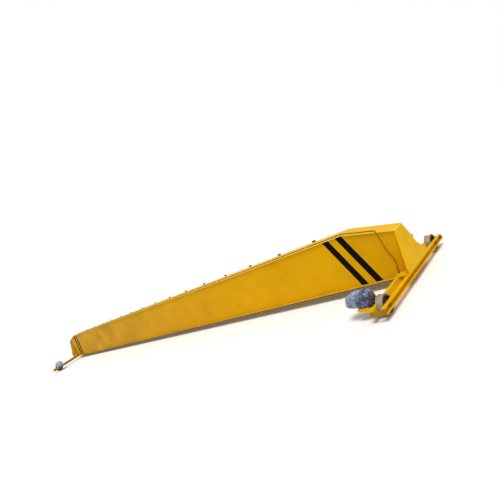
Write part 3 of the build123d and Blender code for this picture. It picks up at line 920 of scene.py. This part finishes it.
def film_lump(low, high):
    """Even, rounded lump that fills most of the film's box and narrows to its tail."""
    sizes = bpy.context.scene.crane_sizes
    span = high - low
    deselect_all()
    bpy.ops.mesh.primitive_cube_add(size=1.0, location=(low + high) / 2, scale=FILM_FILL * span)
    lump = settle(bpy.context.object, "film_lump")
    with editing("SELECT"):
        bpy.ops.mesh.bevel(offset=FILM_ROUND * span.y, segments=5, affect="EDGES")
        bpy.ops.mesh.remove_doubles(threshold=FILM_MERGE)
        bpy.ops.mesh.normals_make_consistent(inside=False)
        bpy.ops.mesh.select_all(action="DESELECT")
    for vertex in lump.data.vertices:
        vertex.select = vertex.co.x < low.x + FILM_TAIL_REACH * span.x
    pivot = (low.x, (low.y + high.y) / 2, low.z + FILM_TAIL_LEVEL * span.z)
    with editing():
        bpy.ops.transform.resize(value=(1.0, FILM_TAIL_WIDTH, sizes.film_tail), center_override=pivot)
    even_skin(lump, sizes.film_cell)
    return lump


def crumple(lump, kind, size, strength):
    """Push the film in and out along its normals by a soft texture."""
    texture = bpy.data.textures.new(f"crumple_{size}", kind)
    texture.noise_scale = size
    if kind == "MUSGRAVE":
        texture.musgrave_type = "RIDGED_MULTIFRACTAL"
    apply_modifier(lump, "DISPLACE", texture=texture, texture_coords="LOCAL", strength=strength,
                   mid_level=0.5)


def let_out(lump):
    """Crumple the film by a short cloth run in which it has more width than it covers."""
    sizes = bpy.context.scene.crane_sizes
    scene = bpy.context.scene
    before = [vertex.co.copy() for vertex in lump.data.vertices]
    cloth = lump.modifiers.new("Spare", "CLOTH")
    adjust(cloth.settings, FILM_CLOTH)
    cloth.settings.shrink_min = cloth.settings.shrink_max = -sizes.film_spare
    cloth.settings.effector_weights.gravity = 0.0
    cloth.collision_settings.use_collision = False
    cloth.point_cache.frame_start, cloth.point_cache.frame_end = 1, FILM_FRAMES
    for number in range(1, FILM_FRAMES + 1):
        scene.frame_set(number)
    only(lump)
    bpy.ops.object.modifier_apply(modifier=cloth.name)
    scene.frame_set(1)
    for vertex, place in zip(lump.data.vertices, before):
        move = vertex.co - place
        if move.length > sizes.film_reach:
            vertex.co = place + move * (sizes.film_reach / move.length)


def cling_to(hood, covered):
    """Keep the film outside what it covers."""
    apply_modifier(hood, "SHRINKWRAP", target=covered, wrap_method="NEAREST_SURFACEPOINT",
                   wrap_mode="OUTSIDE", offset=bpy.context.scene.crane_sizes.film_cling)


def film_hood(low, high, end):
    """Crumpled hood over a drive: it lies on the bracket and hangs down behind it."""
    hood = film_lump(low, high)
    for kind, size, strength in FILM_CRUMPLES:
        crumple(hood, kind, size, strength)
    let_out(hood)
    covered = covered_model(end)
    cling_to(hood, covered)
    even_skin(hood, FILM_FINE * bpy.context.scene.crane_sizes.film_cell)
    apply_modifier(hood, "SMOOTH", factor=0.5, iterations=1)
    cling_to(hood, covered)
    discard(covered)
    least = low + Vector((FILM_MARGIN,) * 3)
    most = high + Vector((-FILM_MARGIN, -FILM_MARGIN, FILM_CROWN))
    for vertex in hood.data.vertices:
        for axis in range(3):
            vertex.co[axis] = min(max(vertex.co[axis], least[axis]), most[axis])
        if abs(vertex.co.x) > BRACKET_LOW.x - DECK_EDGE:
            vertex.co.z = max(vertex.co.z, BRACKET_HIGH.z + DECK_GAP)
    return hood


def other_hand(piece):
    """Mirror image of a piece across the middle of the girder, facing outwards."""
    copy = duplicate(piece)
    copy.scale.x = -1.0
    only(copy)
    bpy.ops.object.transform_apply(location=False, rotation=False, scale=True)
    with editing("SELECT"):
        bpy.ops.mesh.normals_make_consistent(inside=False)
    return copy


class CRANE_OT_packing_film(bpy.types.Operator):
    """Wrap each drive motor in crumpled plastic film"""

    bl_idname = "crane.packing_film"
    bl_label = "Packing Film"

    def execute(self, context):
        material = film_material()
        low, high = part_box("motor_film_right")
        right_hood = film_hood(low, high, "right")
        for end, hood in (("right", right_hood), ("left", other_hand(right_hood))):
            hood.name = hood.data.name = f"packing_film_{end}"
            only(hood)
            bpy.ops.object.shade_smooth_by_angle(angle=FILM_SMOOTHING)
            finish_piece(hood, "bridge", material)
            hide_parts(f"motor_film_{end}")
        return {"FINISHED"}


# Route of a cable drop at the right end, in metres: from the flange to its gland on the seat plate
DROP_ROUTE = (
    (9.620, -0.140, 1.1728), (9.675, -0.140, 1.1597), (9.720, -0.155, 1.1570),
    (9.756, -0.184, 1.1584), (9.780, -0.217, 1.1387), (9.794, -0.240, 1.0974),
    (9.802, -0.246, 1.0375), (9.806, -0.225, 0.961), (9.801, -0.207, 0.860),
    (9.795, -0.196, 0.758), (9.816, -0.195, 0.670), (9.850, -0.196, 0.580),
    (9.862, -0.197, 0.490), (9.865, -0.200, 0.430), (9.858, -0.203, 0.385),
    (9.845, -0.205, 0.350), (9.834, -0.206, 0.322), (9.834, -0.206, 0.2835),
)


class CRANE_OT_drop_cables(bpy.types.Operator):
    """Hang the drive cable from the top flange at each end"""

    bl_idname = "crane.drop_cables"
    bl_label = "Drop Cables"

    def execute(self, context):
        sizes = context.scene.crane_sizes
        material = bpy.data.materials["Cable Sheath"]
        for end, sign in ENDS:
            name = f"drive_cable_{end}"
            line = bpy.data.curves.new(name, "CURVE")
            line.dimensions = "3D"
            line.bevel_depth = sizes.cable_diameter / 2
            line.bevel_resolution = 4
            line.use_fill_caps = True
            spline = line.splines.new("NURBS")
            spline.points.add(len(DROP_ROUTE) - 1)
            for point, (x, y, z) in zip(spline.points, DROP_ROUTE):
                point.co = (sign * x, y, z, 1.0)
            spline.order_u = 3
            spline.use_endpoint_u = True
            spline.resolution_u = 8
            cable = bpy.data.objects.new(name, line)
            context.scene.collection.objects.link(cable)
            finish_piece(cable, "bridge", material)
            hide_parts(f"cable_drop_{end}")
        return {"FINISHED"}


class CRANE_OT_stage(bpy.types.Operator):
    """Set up the pale floor, the soft studio light and the camera"""

    bl_idname = "crane.stage"
    bl_label = "Stage"

    def execute(self, context):
        stage = context.scene.crane_stage
        colours = context.scene.crane_colours
        self.add_floor(stage, colours)
        self.add_lights(context.scene, stage)
        self.add_camera(context.scene, stage)
        context.scene.view_settings.view_transform = "Standard"
        return {"FINISHED"}

    def add_floor(self, stage, colours):
        """Wide floor that takes the crane's shadow."""
        deselect_all()
        bpy.ops.mesh.primitive_plane_add(size=2 * stage.floor_reach)
        floor = settle(bpy.context.object, "floor")
        material, _, shader = new_material("Floor")
        shader.inputs["Base Color"].default_value = rgba(colours.floor)
        shader.inputs["Roughness"].default_value = 0.9
        floor.data.materials.append(material)

    def add_lights(self, scene, stage):
        """Soft white sky and one broad key from the front right."""
        world = bpy.data.worlds.new("Studio")
        world.use_nodes = True
        scene.world = world
        tree = world.node_tree
        background = next(node for node in tree.nodes if node.type == "BACKGROUND")
        background.inputs["Color"].default_value = (1.0, 1.0, 1.0, 1.0)
        path = put(tree, "ShaderNodeLightPath").outputs
        seen = math_node(tree, "MAXIMUM", path["Is Camera Ray"], path["Is Glossy Ray"])
        seen = math_node(tree, "MAXIMUM", seen, path["Is Transmission Ray"])
        strength = spread(tree, seen, 0.0, 1.0, stage.sky_strength, 1.0)
        tree.links.new(strength, background.inputs["Strength"])
        lamp = bpy.data.lights.new("key", "SUN")
        lamp.energy = stage.sun_strength
        lamp.angle = KEY_SPREAD
        key = bpy.data.objects.new("key", lamp)
        key.rotation_euler = Vector(KEY_DIRECTION).to_track_quat("-Z", "Y").to_euler()
        scene.collection.objects.link(key)

    def add_camera(self, scene, stage):
        """Camera at the photograph's place, aim and roll."""
        lens = bpy.data.cameras.new("camera")
        lens.sensor_fit = "HORIZONTAL"
        lens.sensor_width = SENSOR_WIDTH
        lens.lens = SENSOR_WIDTH * stage.focal / PHOTO_WIDTH
        lens.clip_end = VIEW_REACH
        camera = bpy.data.objects.new("camera", lens)
        forward = Vector(stage.aim) - Vector(stage.eye)
        turn = forward.to_track_quat("-Z", "Y") @ Quaternion((0, 0, 1), -stage.roll)
        camera.location = stage.eye
        camera.rotation_euler = turn.to_euler()
        scene.collection.objects.link(camera)
        scene.camera = camera


class CRANE_PT_looks(bpy.types.Panel):
    """Sidebar panel with the crane's settings and operators"""

    bl_idname = "CRANE_PT_looks"
    bl_label = "Crane"
    bl_space_type = "VIEW_3D"
    bl_region_type = "UI"
    bl_category = "Crane"

    def draw(self, context):
        for operator in OPERATORS:
            self.layout.operator(operator.bl_idname)
        for setting in SETTINGS:
            group = getattr(context.scene, setting)
            for name in group.bl_rna.properties.keys():
                if name not in ("rna_type", "name"):
                    self.layout.prop(group, name)


OPERATORS = (
    CRANE_OT_finishes,
    CRANE_OT_weld_beads,
    CRANE_OT_carriage_bolts,
    CRANE_OT_drive_bolts,
    CRANE_OT_packing_film,
    CRANE_OT_drop_cables,
    CRANE_OT_stage,
)
SETTINGS = {"crane_colours": CraneColours, "crane_sizes": CraneSizes, "crane_stage": CraneStage}


def register():
    """Register the settings, the operators and the panel."""
    for name, group in SETTINGS.items():
        bpy.utils.register_class(group)
        setattr(bpy.types.Scene, name, PointerProperty(type=group))
    for operator in OPERATORS:
        bpy.utils.register_class(operator)
    bpy.utils.register_class(CRANE_PT_looks)


def unregister():
    """Take away what register added."""
    bpy.utils.unregister_class(CRANE_PT_looks)
    for operator in reversed(OPERATORS):
        bpy.utils.unregister_class(operator)
    for name, group in SETTINGS.items():
        delattr(bpy.types.Scene, name)
        bpy.utils.unregister_class(group)


def main():
    """Build the scene."""
    register()
    bpy.ops.crane.finishes()
    bpy.ops.crane.weld_beads()
    bpy.ops.crane.carriage_bolts()
    bpy.ops.crane.drive_bolts()
    bpy.ops.crane.packing_film()
    bpy.ops.crane.drop_cables()
    bpy.ops.crane.stage()


if __name__ == "__main__":
    main()
